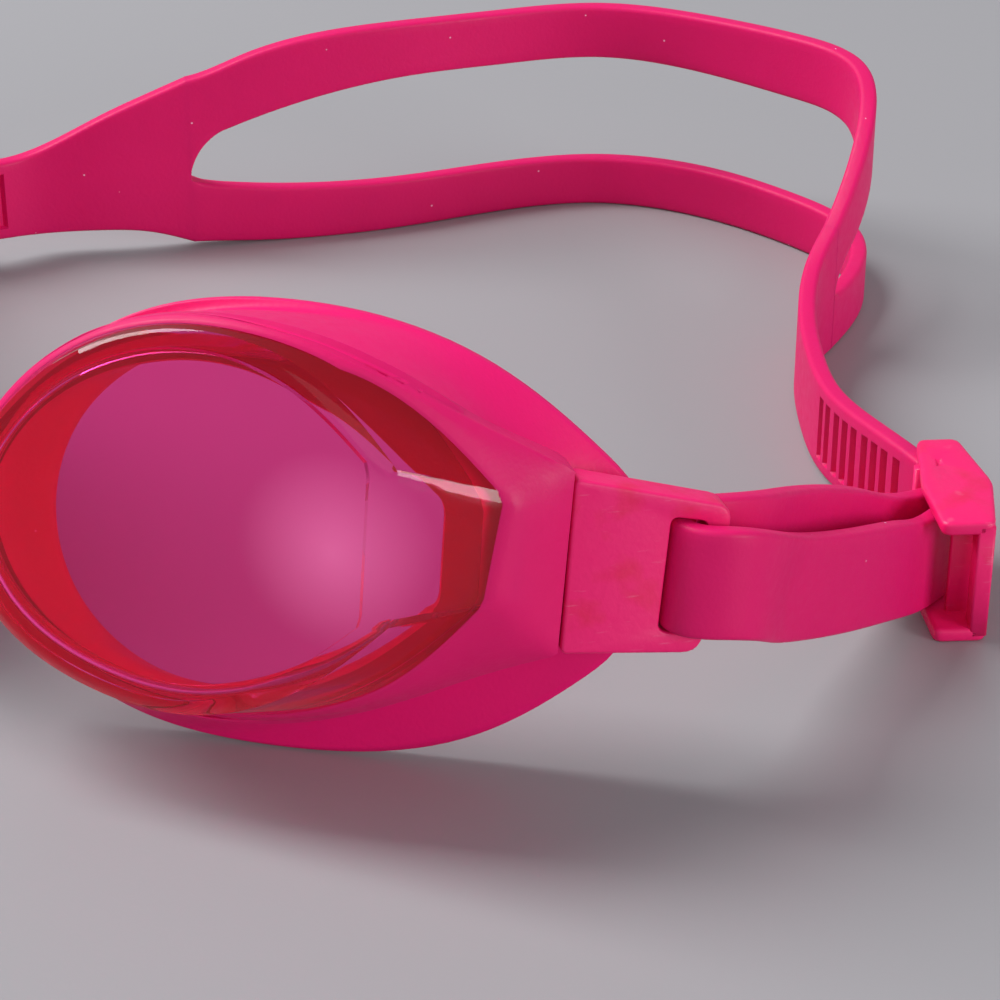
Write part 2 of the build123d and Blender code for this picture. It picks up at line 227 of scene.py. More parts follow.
UPPER_STRAND = [
    ((-42.8, 73.0), 12.6, 20.3), ((-38.6, 77.8), 14.8, 22.4), ((-27.7, 91.5), 18.4, 24.8),
    ((-21.5, 102.0), 18.2, 24.4), ((-13.6, 111.0), 18.2, 24.4), ((-2.0, 115.2), 17.8, 24.4),
    ((10.0, 115.2), 17.8, 25.0),
    ((20.0, 112.2), 17.4, 25.0), ((25.2, 105.5), 13.6, 22.0), ((28.0, 95.0), 8.6, 14.4),
]
RIGHT_MAIN = [
    ((-42.8, 73.0), 0.6, 20.3), ((-46.0, 69.4), 2.2, 18.4), ((-49.5, 65.6), 2.8, 16.2),
    ((-55.5, 58.4), 3.0, 12.4),
]
# Doubled strap: (x, y) and height of its middle, and how far its upper edge lies behind its lower one
LEFT_INNER = [((60.3, 48.0), 10.4, 2.2), ((60.3, 36.0), 15.8, 3.4), ((60.9, 28.5), 18.9, 3.8)]
LEFT_OUTER = [((64.7, 30.0), 15.7, 3.4), ((64.7, 40.0), 11.5, 2.8), ((64.5, 49.0), 8.2, 1.4)]
RIGHT_INNER = [((60.2, 38.5), 10.9, 2.4), ((60.6, 31.0), 15.2, 3.6)]
RIGHT_OUTER = [((64.6, 30.0), 14.0, 3.6), ((64.6, 36.0), 10.4, 2.0)]
# Strap round the clip's bar: along the clip from the bar's middle, lift and place out of the clip's face
LOOP_PATH = [(0.8, 0.7, -4.8), (-1.4, 0.2, -4.5), (-2.5, 0.0, -2.0), (-1.6, 0.0, 0.5), (1.2, 0.4, 1.4)]
LOOP_LEAN = 0.55


# ---------------------------------------------------------------- curves and frames

def spline(points, samples):
    """A natural cubic spline through the points, with that many samples in each span."""
    knots = np.array(points, float)
    steps = np.linalg.norm(np.diff(knots, axis=0), axis=1)
    matrix = np.eye(len(knots))
    target = np.zeros_like(knots)
    for i in range(1, len(knots) - 1):
        matrix[i, i - 1:i + 2] = steps[i - 1], 2 * (steps[i - 1] + steps[i]), steps[i]
        target[i] = 6 * ((knots[i + 1] - knots[i]) / steps[i] - (knots[i] - knots[i - 1]) / steps[i - 1])
    bend = np.linalg.solve(matrix, target)
    curve = []
    for i, step in enumerate(steps):
        for k in range(samples):
            b = k / samples
            a = 1 - b
            straight = a * knots[i] + b * knots[i + 1]
            curve.append(straight + ((a**3 - a) * bend[i] + (b**3 - b) * bend[i + 1]) * step**2 / 6)
    curve.append(knots[-1])
    return np.array(curve)


def ease(value):
    """0 to 1 with no slope at either end."""
    value = np.clip(value, 0, 1)
    return value * value * (3 - 2 * value)


def closed_loop(knots, corner=CORNER, passes=0):
    """A loop through the knots, straight from the last to the first, its two corners cut or rounded."""
    curve = spline(knots, CURVE_SAMPLES // (len(knots) - 1))
    shares = np.linspace(corner, 1 - corner, SIDE_SAMPLES)[:, None]
    side = curve[-1] + (curve[0] - curve[-1]) * shares
    if corner:
        curve[0] = (curve[0] + curve[1]) / 2
        curve[-1] = (curve[-1] + curve[-2]) / 2
    loop = np.vstack([curve, side])
    return smoothed(loop, passes)


def smoothed(loop, passes):
    """The loop with each point drawn towards its neighbours, over and over."""
    for _ in range(passes):
        loop = (np.roll(loop, 1, axis=0) + 2 * loop + np.roll(loop, -1, axis=0)) / 4
    return loop


def outline(extents, depth, grow=0.0, slope=0.0, passes=0, brow=BROW):
    """A loop of the eyecup's outline at a depth, deeper to the temple by slope (in degrees)."""
    temple, nose, top, bottom, side_top, side_bottom = extents
    knots = [(temple + grow, side_top)]
    for across, up in UNIT_OUTLINE:
        up = brow if up == BROW else up
        width = (temple if across > 0 else nose) + grow
        height = (top if up > 0 else bottom) + grow
        knots.append((across * width, up * height))
    knots.append((temple + grow, side_bottom))
    return at_depth(closed_loop(knots, passes=passes), depth, slope)


def at_depth(flat, depth, slope=0.0):
    """A flat loop at a depth, deeper to the temple by slope."""
    return np.column_stack([flat, depth - flat[:, 0] * math.tan(math.radians(slope))])


def lip_loop(depth, inset=0.0):
    """The lip's edge, drawn in towards the middle of the eye by inset."""
    flat = closed_loop(LIP, passes=SOFT)
    out = flat - EYE_MIDDLE
    return at_depth(flat - inset * out / np.linalg.norm(out, axis=1)[:, None], depth, LIP_SLOPE)


def lens_loop(depth, grow=0.0):
    """The lens's outer surface at a depth, or at a depth for each point of the loop."""
    share = -np.asarray(depth) / LENS_DEPTH
    share = np.broadcast_to(share, (len(FRONT_LOOP),))[:, None]
    loop = outline(FRONT, 0, grow) * (1 - share) + outline(BACK, 0, grow) * share
    loop[:, 2] = depth
    return loop


FRONT_LOOP = outline(FRONT, 0)


def cup_axes():
    to_temple = np.array([math.cos(CUP_WRAP), math.sin(CUP_WRAP), 0])
    ahead = np.array([math.sin(CUP_WRAP), -math.cos(CUP_WRAP), 0])
    forward = ahead * math.cos(CUP_LEAN) + np.array([0, 0, math.sin(CUP_LEAN)])
    return np.array([to_temple, np.cross(forward, to_temple), forward])


def clip_axes():
    along = np.array([
        math.cos(TEMPLE_ANGLE) * math.cos(TEMPLE_DROOP), -math.sin(TEMPLE_DROOP),
        -math.sin(TEMPLE_ANGLE) * math.cos(TEMPLE_DROOP)])
    out = np.array([math.sin(TEMPLE_ANGLE), 0, math.cos(TEMPLE_ANGLE)])
    return np.array([along, np.cross(out, along), out])


def from_cup(points):
    return CUP_PLACE + np.asarray(points) @ cup_axes()


def from_clip(points):
    return from_cup(SEAM + np.asarray(points) @ clip_axes())


def from_buckle(place, points):
    origin, angle = place
    along = np.array([math.cos(math.radians(angle)), math.sin(math.radians(angle)), 0])
    outward = np.array([-along[1], along[0], 0])
    return np.array(origin) + np.asarray(points, float) @ np.array([along, outward, (0, 0, 1)])


# ---------------------------------------------------------------- meshes

def add_piece(name, points, faces, material, side=1, crease=None):
    """A smooth, closed mesh from design points in millimetres; side -1 mirrors it to the wearer's right."""
    mesh = bpy.data.meshes.new(name)
    places = DATUM + MM * np.asarray(points) * (side, 1, 1)
    mesh.from_pydata(places.tolist(), [], faces)
    work = bmesh.new()
    work.from_mesh(mesh)
    bmesh.ops.remove_doubles(work, verts=work.verts, dist=1e-7)
    bmesh.ops.recalc_face_normals(work, faces=work.faces)
    for face in work.faces:
        face.smooth = True
    work.to_mesh(mesh)
    work.free()
    if crease:
        mesh.set_sharp_from_angle(angle=math.radians(crease))
    mesh.materials.append(material)
    piece = bpy.data.objects.new(name, mesh)
    bpy.context.scene.collection.objects.link(piece)
    return piece


def loft(rings, ring_closed=True, profile_closed=False):
    """Points and faces of a surface through rings of equal length, capped unless the profile is closed."""
    rings = np.asarray(rings)
    count, size = rings.shape[:2]
    faces = []
    for k in range(count if profile_closed else count - 1):
        for i in range(size if ring_closed else size - 1):
            after, j = (k + 1) % count, (i + 1) % size
            faces.append((k * size + i, k * size + j, after * size + j, after * size + i))
    if not profile_closed:
        faces.append(tuple(range(size)))
        faces.append(tuple(range((count - 1) * size, count * size)))
    return rings.reshape(-1, 3), faces


def through(keys, samples):
    """Rings on a smooth surface through the key rings."""
    keys = np.asarray(keys)
    return spline(keys.reshape(len(keys), -1), samples).reshape(-1, *keys.shape[1:])


def curve_between(start, corner, end, steps):
    """Rings on a rounded corner from one ring to another."""
    rings = []
    for k in range(steps + 1):
        t = k / steps
        rings.append(start * (1 - t)**2 + corner * 2 * t * (1 - t) + end * t * t)
    return rings


# ---------------------------------------------------------------- materials

def new_material(name, color, roughness):
    """A material with its tree, its Principled shader and its object coordinates."""
    material = bpy.data.materials.new(name)
    material.use_nodes = True
    tree = material.node_tree
    shader = tree.nodes["Principled BSDF"]
    shader.inputs["Base Color"].default_value = (*color, 1)
    shader.inputs["Roughness"].default_value = roughness
    place = tree.nodes.new("ShaderNodeTexCoord").outputs["Object"]
    return material, tree, shader, place


def noise(tree, place, scale, detail=3.0, stretch=None):
    if stretch:
        mapping = tree.nodes.new("ShaderNodeMapping")
        mapping.inputs["Scale"].default_value = stretch
        tree.links.new(place, mapping.inputs["Vector"])
        place = mapping.outputs["Vector"]
    node = tree.nodes.new("ShaderNodeTexNoise")
    node.inputs["Scale"].default_value = scale
    node.inputs["Detail"].default_value = detail
    tree.links.new(place, node.inputs["Vector"])
    return node.outputs["Fac"]


def remap(tree, value, low, high, to_low, to_high):
    node = tree.nodes.new("ShaderNodeMapRange")
    for name, number in (("From Min", low), ("From Max", high), ("To Min", to_low), ("To Max", to_high)):
        node.inputs[name].default_value = number
    tree.links.new(value, node.inputs["Value"])
    return node.outputs["Result"]


def mix_color(tree, share, first, second):
    node = tree.nodes.new("ShaderNodeMix")
    node.data_type = "RGBA"
    tree.links.new(share, node.inputs["Factor"])
    for socket, color in ((node.inputs["A"], first), (node.inputs["B"], second)):
        if isinstance(color, tuple):
            socket.default_value = (*color, 1)
        else:
            tree.links.new(color, socket)
    return node.outputs["Result"]


def bump(tree, shader, height, strength, distance):
    node = tree.nodes.new("ShaderNodeBump")
    node.inputs["Strength"].default_value = strength
    node.inputs["Distance"].default_value = distance
    tree.links.new(height, node.inputs["Height"])
    tree.links.new(node.outputs["Normal"], shader.inputs["Normal"])


def specks(tree, place, scale, size):
    """1 on small scattered flecks, 0 elsewhere."""
    node = tree.nodes.new("ShaderNodeTexVoronoi")
    node.inputs["Scale"].default_value = scale
    tree.links.new(place, node.inputs["Vector"])
    return remap(tree, node.outputs["Distance"], size, size * 0.6, 0, 1)


def silicone(name, color, roughness, glow):
    """Satin silicone or soft plastic: mottling, grain, specks of dust and light that spreads in its skin."""
    material, tree, shader, place = new_material(name, color, roughness)
    deep = tuple(channel * 0.90 for channel in color)
    mottled = mix_color(tree, noise(tree, place, 120), deep, color)
    dusty = mix_color(tree, specks(tree, place, 260, 0.035), mottled, (0.9, 0.45, 0.6))
    tree.links.new(dusty, shader.inputs["Base Color"])
    tree.links.new(remap(tree, noise(tree, place, 900), 0.3, 0.7, roughness - 0.05, roughness + 0.06),
                   shader.inputs["Roughness"])
    shader.inputs["Specular IOR Level"].default_value = 0.24
    shader.inputs["Subsurface Weight"].default_value = glow
    shader.inputs["Subsurface Radius"].default_value = (1.0, 0.25, 0.4)
    shader.inputs["Subsurface Scale"].default_value = 0.0015
    bump(tree, shader, noise(tree, place, 2600, 2.0), 0.12, 0.0002)
    return material


def scratched_plastic(name, color, roughness):
    """Hard satin plastic with fine pale scratches, darker smudges and a moulded grain."""
    material, tree, shader, place = new_material(name, color, roughness)
    smudge = remap(tree, noise(tree, place, 240, 5.0), 0.54, 0.68, 0, 0.55)
    worn = mix_color(tree, smudge, color, (0.72, 0.008, 0.06))
    shader.inputs["Specular IOR Level"].default_value = 0.4
    lines = remap(tree, noise(tree, place, 380, 8.0, (1.0, 1.0, 7.0)), 0.64, 0.74, 0, 0.22)
    tree.links.new(mix_color(tree, lines, worn, (0.88, 0.30, 0.45)), shader.inputs["Base Color"])
    tree.links.new(remap(tree, noise(tree, place, 700, 5.0), 0.3, 0.7, roughness - 0.08, roughness + 0.08),
                   shader.inputs["Roughness"])
    bump(tree, shader, noise(tree, place, 1500, 4.0), 0.2, 0.0002)
    return material


def tinted_lens(name, tint, shade, side):
    """Clear tinted polycarbonate with a faint painted glow all over, brightened near the temple by a painted
    reflection. Its shadow is a tinted pane's.
    """
    material, tree, shader, place = new_material(name, tint, 0.02)
    shader.inputs["Transmission Weight"].default_value = 1.0
    shader.inputs["IOR"].default_value = 1.34
    shader.inputs["Emission Strength"].default_value = 1.0
    # Painted glow: a faint emission everywhere that rises to a painted reflection near the temple
    away = tree.nodes.new("ShaderNodeVectorMath")
    away.operation = "DISTANCE"
    tree.links.new(place, away.inputs[0])
    away.inputs[1].default_value = DATUM + MM * from_cup(PAINTED_REFLECTION_MIDDLE) * (side, 1, 1)
    share = remap(tree, away.outputs["Value"], MM * PAINTED_REFLECTION_RADIUS, 0, 0, 1)
    painted_glow = mix_color(tree, share, (0.035, 0.001, 0.004), (0.18, 0.075, 0.12))
    tree.links.new(painted_glow, shader.inputs["Emission Color"])
    pane = tree.nodes.new("ShaderNodeBsdfTransparent")
    pane.inputs["Color"].default_value = (*(math.sqrt(channel) for channel in shade), 1)
    light = tree.nodes.new("ShaderNodeLightPath")
    mix = tree.nodes.new("ShaderNodeMixShader")
    tree.links.new(light.outputs["Is Shadow Ray"], mix.inputs["Fac"])
    tree.links.new(shader.outputs["BSDF"], mix.inputs[1])
    tree.links.new(pane.outputs["BSDF"], mix.inputs[2])
    tree.links.new(mix.outputs["Shader"], tree.nodes["Material Output"].inputs["Surface"])
    return material


def table_top(name, color):
    """A pale, slightly glossy table with faint unevenness and hairline scratches."""
    material, tree, shader, place = new_material(name, color, 0.38)
    lighter = tuple(channel * 1.04 for channel in color)
    tree.links.new(mix_color(tree, noise(tree, place, 6), color, lighter), shader.inputs["Base Color"])
    shader.inputs["Specular IOR Level"].default_value = 0.25
    bump(tree, shader, noise(tree, place, 900), 0.05, 0.0002)
    return material


PINK = (0.87, 0.006, 0.165)
STRAP_PINK = (0.74, 0.005, 0.137)
FRAME_PINK = (0.76, 0.007, 0.142)
CLIP_PINK = (0.86, 0.008, 0.155)
BUCKLE_PINK = (0.88, 0.008, 0.15)
# Painted shade: the flange under the lens is coloured a darker red than the gasket
SHADE_BAND_RED = (0.48, 0.001, 0.01)
LENS_TINT = (1.0, 0.072, 0.39)
LENS_SHADE = (0.03, 0.004, 0.01)
STRAP_MATERIAL = silicone("strap_silicone", STRAP_PINK, 0.50, 0.15)
GASKET_MATERIAL = silicone("gasket_silicone", PINK, 0.46, 0.08)
BRIDGE_MATERIAL = silicone("bridge_silicone", PINK, 0.46, 0.2)
FRAME_MATERIAL = silicone("frame_satin", FRAME_PINK, 0.46, 0.1)
SHADE_BAND_MATERIAL = silicone("shade_band", SHADE_BAND_RED, 0.6, 0.05)
CLIP_MATERIAL = scratched_plastic("clip_plastic", CLIP_PINK, 0.46)
BUCKLE_MATERIAL = scratched_plastic("buckle_plastic", BUCKLE_PINK, 0.42)
LENS_MATERIALS = {
    1: tinted_lens("lens_tint_left", LENS_TINT, LENS_SHADE, 1),
    -1: tinted_lens("lens_tint_right", LENS_TINT, LENS_SHADE, -1),
}


# ---------------------------------------------------------------- eyecup

def make_lens(side):
    """A dish with a flat face, a rounded rim and a slanted side window. Its back edge lies in the frame."""
    back = np.clip(frame_edges()[0][:, 2] - FRAME_TUCK, -LENS_DEPTH, 0)
    step = -LENS_BEVEL - 2 * HOLD
    face = [outline(FRONT, 0, step - LENS_SHOULDER - HOLD), outline(FRONT, 0, step - LENS_SHOULDER)]
    rim = [outline(FRONT, -LENS_STEP, step)]
    bevel = outline(FRONT, -LENS_STEP, -LENS_BEVEL)
    rim += curve_between(bevel, outline(FRONT, *RIM_CORNER), lens_loop(RIM_BACK), 6)
    wall = [lens_loop(RIM_BACK - HOLD), lens_loop(back * 0.4), lens_loop(back * 0.7), lens_loop(back + HOLD)]
    edge = [lens_loop(back), lens_loop(back, -LENS_EDGE), lens_loop(back, LENS_EDGE - LENS_WALL)]
    edge += [lens_loop(back, -LENS_WALL), lens_loop(back + HOLD, -LENS_WALL)]
    inside = [lens_loop((back + LENS_BEND) / 2, -LENS_WALL)]
    bend = lens_loop(LENS_BEND, -LENS_WALL), lens_loop(-LENS_WALL, -LENS_WALL)
    inside += curve_between(*bend, lens_loop(-LENS_WALL, -LENS_WALL - INNER_ROUND), 5)
    inside.append(lens_loop(-LENS_WALL, -LENS_WALL - INNER_ROUND - LENS_EDGE))
    rings = face + rim + wall + edge + inside
    points, faces = loft(rings)
    return add_piece(side_name(side, "lens"), from_cup(points), faces, LENS_MATERIALS[side], side, crease=22)


def seam_share():
    """1 along the straight temple side of a loop, 0 round the rest."""
    share = np.zeros(len(FRONT_LOOP))
    share[-SIDE_SAMPLES:] = 1
    return share[:, None]


def frame_front_depth():
    """How deep the frame's front edge lies at each point of the lens's loop."""
    return closed_loop([(depth, 0) for depth in FRAME_FRONT])[:, 0]


def frame_edges():
    """The outer and inner loops of the frame's back edge."""
    outer = closed_loop(FRAME_EDGE, corner=0.01)
    close = lens_loop(np.clip(outer[:, 2] - FRAME_TUCK, -LENS_DEPTH, 0), FRAME_WALL)
    close[:, 2] = outer[:, 2] - FRAME_TUCK
    end = outer - CLIP_THICKNESS * clip_axes()[2]
    share = ease((outer[:, 0] - SEAM_BLEND[0]) / SEAM_BLEND[1])[:, None]
    inner = close * (1 - share) + end * share
    return outer, inner


def make_frame(side):
    """A ring that grips the lens, thin at the nose, and widens to the seam with the clip."""
    outer, inner = frame_edges()
    depth = frame_front_depth()
    front = lens_loop(depth, FRAME_FIT)
    crest = lens_loop(depth - FRAME_CREST, FRAME_WALL)
    shoulder = lens_loop(depth - FRAME_SHOULDER[0], FRAME_SHOULDER[1])
    crown = FRAME_CROWN * ease((outer[:, 0] - CROWN_BLEND[0]) / CROWN_BLEND[1])
    middle = smoothed((shoulder + outer) / 2, SMOOTH_PASSES) + crown[:, None] * clip_axes()[2]
    skin = through([crest, shoulder, middle, outer], 6)
    round_over = outer * (1 - FRAME_ROUND) + inner * FRAME_ROUND - np.array([0, 0, FRAME_FIT])
    hidden = lens_loop(np.clip(outer[:, 2] - FRAME_TUCK - 2 * HOLD, -LENS_DEPTH, 0), FRAME_FIT)
    rings = [front, *skin, round_over, inner, hidden]
    points, faces = loft(rings, profile_closed=True)
    return add_piece(side_name(side, "frame"), from_cup(points), faces, FRAME_MATERIAL, side, crease=50)


def make_gasket(side):
    """The eye seal: flush with the frame, then drawn in a little, then flared to a soft lip for the face."""
    outer, inner = frame_edges()
    seam = seam_share()
    start = (outer * (1 - GASKET_FLUSH) + inner * GASKET_FLUSH) * (1 - seam) + inner * seam
    tucked = (start + inner) / 2 + np.array([0, 0, 2 * HOLD])
    level, slope = GASKET_LEVEL, GASKET_SLOPE
    waist = outline(WAIST, level["waist"], slope=slope["waist"], passes=SOFT)
    flare = outline(FLARE, level["flare"], slope=slope["flare"], passes=SOFT)
    skin = through([start, waist, flare, lip_loop(level["lip"])], 8)
    edge = lip_loop(level["edge"])
    lip_back = lip_loop(level["lip_back"], LIP_ROUND)
    skirt = outline(SKIRT, level["skirt"], slope=slope["skirt"], passes=SOFT)
    opening_back = outline(OPENING_BACK, level["opening_back"], slope=slope["opening_back"], passes=SOFT,
                           brow=OPENING_BROW)
    opening = outline(OPENING, level["opening"], passes=1, brow=OPENING_BROW)
    opening_top = outline(OPENING, level["opening_top"], OPENING_ROUND, passes=1, brow=OPENING_BROW)
    inside = through([edge, lip_back, skirt, opening_back, opening, opening_top], 5)
    flange = outline(FLANGE, level["flange"])
    seat = outline(FLANGE, level["seat"], SEAT_GROW)
    rings = [tucked, *skin, *inside, flange, seat]
    points, faces = loft(rings, profile_closed=True)
    return add_piece(side_name(side, "gasket"), from_cup(points), faces, GASKET_MATERIAL, side)


def make_shade_band(side):
    """A deep red band of painted shade on the gasket's flange, under the lens, where the inside of the cup
    lies in shade.
    """
    top = [outline(OPENING, BAND_LEVELS[0], OPENING_ROUND + BAND_INSET, passes=1, brow=OPENING_BROW),
           outline(FLANGE, BAND_LEVELS[1], -BAND_INSET)]
    rings = [*top, top[1] - (0, 0, BAND_THICKNESS), top[0] - (0, 0, BAND_THICKNESS)]
    points, faces = loft(rings, profile_closed=True)
    return add_piece(side_name(side, "shade_band"), from_cup(points), faces, SHADE_BAND_MATERIAL, side, crease=50)


# ---------------------------------------------------------------- clip, bridge and buckles

def rounded(corners, radii, steps=5):
    """A closed loop in the plane with its corners rounded, the same number of points at each."""
    loop = []
    radii = np.broadcast_to(radii, len(corners))
    for k, corner in enumerate(corners):
        radius = radii[k]
        corner = np.array(corner, float)
        before = np.array(corners[k - 1], float) - corner
        after = np.array(corners[(k + 1) % len(corners)], float) - corner
        start = corner + before / np.linalg.norm(before) * radius
        end = corner + after / np.linalg.norm(after) * radius
        for step in range(steps + 1):
            t = step / steps
            loop.append(start * (1 - t)**2 + corner * 2 * t * (1 - t) + end * t * t)
    return np.array(loop)


def make_clip(side):
    """A hard plate with a crowned outer face and a slot for the strap."""
    rim = [(SEAM_LEAN + SEAM_GAP, -CLIP_HALF), (CLIP_LENGTH, -CLIP_END_HALF), (CLIP_LENGTH, CLIP_END_HALF),
           (SEAM_GAP - SEAM_LEAN, CLIP_TOP_HALF)]
    slot = [(SLOT_START + SLOT_LEAN, -SLOT_HALF), (SLOT_START + SLOT_LENGTH, -SLOT_HALF),
            (SLOT_START + SLOT_LENGTH, SLOT_HALF), (SLOT_START + SLOT_LEAN / 2, SLOT_HALF)]
    rings = []
    for inset, z in CLIP_EDGE:
        loop = inset_loop(rounded(rim, CLIP_RADII), inset)
        rings.append(np.column_stack([loop, np.full(len(loop), z)]))
    for inset, z in reversed(CLIP_EDGE):
        loop = inset_loop(rounded(slot, SLOT_RADIUS), -inset * SLOT_EDGE_SHARE)
        rings.append(np.column_stack([loop, np.full(len(loop), z)]))
    points, faces = loft(rings, profile_closed=True)
    return add_piece(side_name(side, "temple_clip"), from_clip(points), faces, CLIP_MATERIAL, side)


def inset_loop(loop, inset):
    """The loop moved inwards along its own normals."""
    along = np.roll(loop, -1, axis=0) - np.roll(loop, 1, axis=0)
    along /= np.linalg.norm(along, axis=1)[:, None]
    return loop + inset * np.column_stack([-along[:, 1], along[:, 0]])


def make_bridge():
    """A soft bow between the frames, waisted in the middle."""
    rings = []
    for x, y, z, height, thickness in spline(BRIDGE_BOW, 12):
        half, deep = height / 2, thickness / 2
        loop = rounded([(-half, -deep), (half, -deep), (half, deep), (-half, deep)], BRIDGE_RADIUS)
        rings.append([(x, y + b, z + a) for a, b in loop])
    points, faces = loft(rings)
    return add_piece("nose_bridge_bow", points, faces, BRIDGE_MATERIAL)


def dimple(rim, top):
    """Rings that lead from a plate's rim down into its round dimple."""
    out = rim - BUCKLE_DIMPLE
    out /= np.linalg.norm(out, axis=1)[:, None]
    rings = []
    for radius, depth in DIMPLE_PROFILE:
        rings.append(np.column_stack([BUCKLE_DIMPLE + radius * out, np.full(len(rim), top - depth)]))
    return rings


def buckle_plate(low):
    """Rings of one plate, whose lower face lies at a height; the upper plate has the dimple."""
    rim = rounded(BUCKLE_OUTLINE, BUCKLE_RADIUS)
    levels = PLATE_ROUND + [(inset, BUCKLE_PLATE - z) for inset, z in reversed(PLATE_ROUND)]
    rings = []
    for inset, z in levels:
        loop = inset_loop(rim, inset)
        rings.append(np.column_stack([loop, np.full(len(loop), low + z)]))
    if low:
        rings += dimple(loop, low + BUCKLE_PLATE)
    return rings


def buckle_bar(s, n, length, thickness):
    """Rings of one bar, from plate to plate."""
    long, thick = length / 2, thickness / 2
    corners = [(s - long, n - thick), (s + long, n - thick), (s + long, n + thick), (s - long, n + thick)]
    loop = rounded(corners, BAR_RADIUS)
    heights = (BAR_SINK, BUCKLE_HEIGHT / 2, BUCKLE_HEIGHT - BAR_SINK)
    return [np.column_stack([loop, np.full(len(loop), z)]) for z in heights]


def joined(solids):
    """Points and faces of several lofted solids in one mesh."""
    points, faces = [], []
    for rings in solids:
        more, more_faces = loft(rings)
        start = len(points)
        points.extend(more)
        faces.extend(tuple(index + start for index in face) for face in more_faces)
    return points, faces


def make_buckle(name, place, side):
    """A slide for the strap: two rounded plates, joined by three bars and a wall across the far window."""
    solids = [buckle_plate(low) for low in (0, BUCKLE_HEIGHT - BUCKLE_PLATE)]
    solids += [buckle_bar(*bar) for bar in BUCKLE_BARS]
    points, faces = joined(solids)
    return add_piece(name, from_buckle(place, points), faces, BUCKLE_MATERIAL, side)


# ---------------------------------------------------------------- strap

def upright(points):
    """Pairs of edge points of a strap that stands upright."""
    return [((x, y, low), (x, y, high)) for (x, y), low, high in points]


def between(points):
    """Pairs of edge points of a strand that leans."""
    pairs = []
    for (x, y), middle, lean in points:
        half = math.sqrt(STRAP_WIDTH**2 - lean**2) / 2
        pairs.append(((x, y - lean / 2, middle - half), (x, y + lean / 2, middle + half)))
    return pairs


def in_buckle(place, points):
    """Pairs of edge points of the strap in a buckle, half-way between its plates."""
    low = (BUCKLE_HEIGHT - STRAP_WIDTH) / 2
    return [tuple(from_buckle(place, [(s, n, low), (s, n, low + STRAP_WIDTH)])) for s, n in points]


def round_clip():
    """Pairs of edge points of the strap where it turns round the clip's bar."""
    bar = (SLOT_START + SLOT_LENGTH + CLIP_LENGTH) / 2
    half = STRAP_WIDTH / 2
    pairs = []
    for along, lift, out in LOOP_PATH:
        ends = [(bar + along + LOOP_LEAN, lift - half, out), (bar + along - LOOP_LEAN, lift + half, out)]
        pairs.append(tuple(from_clip(ends)))
    return pairs


def doubled(place, inner, outer):
    """Pairs of edge points of the doubled strap: out of the buckle, round the clip's bar and back in."""
    start, end = in_buckle(place, INNER_PATH), in_buckle(place, OUTER_PATH)
    return start + between(inner) + round_clip() + between(outer) + end


def path_of(pairs, step):
    """Low and high edge points, directions and distances of evenly spaced sections through pairs of points."""
    dense = spline([np.concatenate(pair) for pair in pairs], 40)
    middle = (dense[:, :3] + dense[:, 3:]) / 2
    travelled = np.concatenate([[0], np.cumsum(np.linalg.norm(np.diff(middle, axis=0), axis=1))])
    count = max(4, round(travelled[-1] / step))
    at = np.linspace(0, travelled[-1], count + 1)
    even = np.column_stack([np.interp(at, travelled, dense[:, k]) for k in range(6)])
    middle = (even[:, :3] + even[:, 3:]) / 2
    along = np.gradient(middle, axis=0)
    along /= np.linalg.norm(along, axis=1)[:, None]
    return even[:, :3], even[:, 3:], along, at


def strap_section(low, high, along, rounding=(STRAP_EDGE, STRAP_EDGE), groove=0.0):
    """A section of the strap with rounded edges. A groove cuts one face, and one below zero the other."""
    up = high - low
    height = np.linalg.norm(up)
    up = up / height
    side = np.cross(along, up)
    side /= np.linalg.norm(side)
    half, deep = height / 2, STRAP_THICKNESS / 2
    loop = []
    for sign_up, sign_side, turn in ((-1, 1, 180), (1, 1, 90), (1, -1, 0), (-1, -1, -90)):
        radius = rounding[0] if sign_up < 0 else rounding[1]
        for k in range(EDGE_STEPS + 1):
            angle = math.radians(turn - 90 * k / EDGE_STEPS)
            loop.append((sign_up * (half - radius) + radius * math.cos(angle),
                         sign_side * (deep - radius) + radius * math.sin(angle)))
        if sign_up != sign_side:
            cut = max(0.0, -sign_side * groove)
            start, end = sign_up * (half - RIB_MARGIN), sign_up * (half - RIB_MARGIN - GROOVE_SLOPE)
            loop += [(start, sign_side * deep), (end, sign_side * (deep - cut)),
                     (-end, sign_side * (deep - cut)), (-start, sign_side * deep)]
    middle = (low + high) / 2
    return [middle + up * a + side * b for a, b in loop]


def groove_depth(place, count):
    """How deep the strap is cut at a distance from the first of a row of narrow grooves."""
    if place < 0 or place > RIB_PITCH * count or place % RIB_PITCH > GROOVE_WIDTH:
        return 0.0
    return GROOVE_DEPTH


def strap_piece(name, lows, highs, alongs, grooves):
    rings = [strap_section(*edges, groove=groove) for *edges, groove in zip(lows, highs, alongs, grooves)]
    points, faces = loft(rings)
    return add_piece(name, points, faces, STRAP_MATERIAL, crease=50)


def mirrored(pairs):
    return [tuple(np.array(point) * (-1, 1, 1) for point in pair) for pair in pairs]


def make_side_strap(name, main, place, inner, outer, side):
    """The strap from its split to the buckle, and its doubled strands from the buckle to the clip and back."""
    strands = doubled(place, inner, outer)
    pairs = upright(main) + (strands if side > 0 else mirrored(strands))
    lows, highs, alongs, travelled = path_of(pairs, SIDE_STEP)
    entry = np.mean(pairs[len(main)], axis=0)
    cut = int(np.argmin(np.linalg.norm((lows + highs) / 2 - entry, axis=1)))
    from_buckle_end = travelled[cut] - FIRST_GROOVE - travelled
    cuts = [-side * groove_depth(distance, GROOVES[name]) for distance in from_buckle_end[:cut + 1]]
    main_piece = strap_piece(name + "_strap_main", lows[:cut + 1], highs[:cut + 1], alongs[:cut + 1], cuts)
    plain = np.zeros(len(lows) - cut)
    strand_piece = strap_piece(name + "_strap_strands", lows[cut:], highs[cut:], alongs[cut:], plain)
    return main_piece, strand_piece


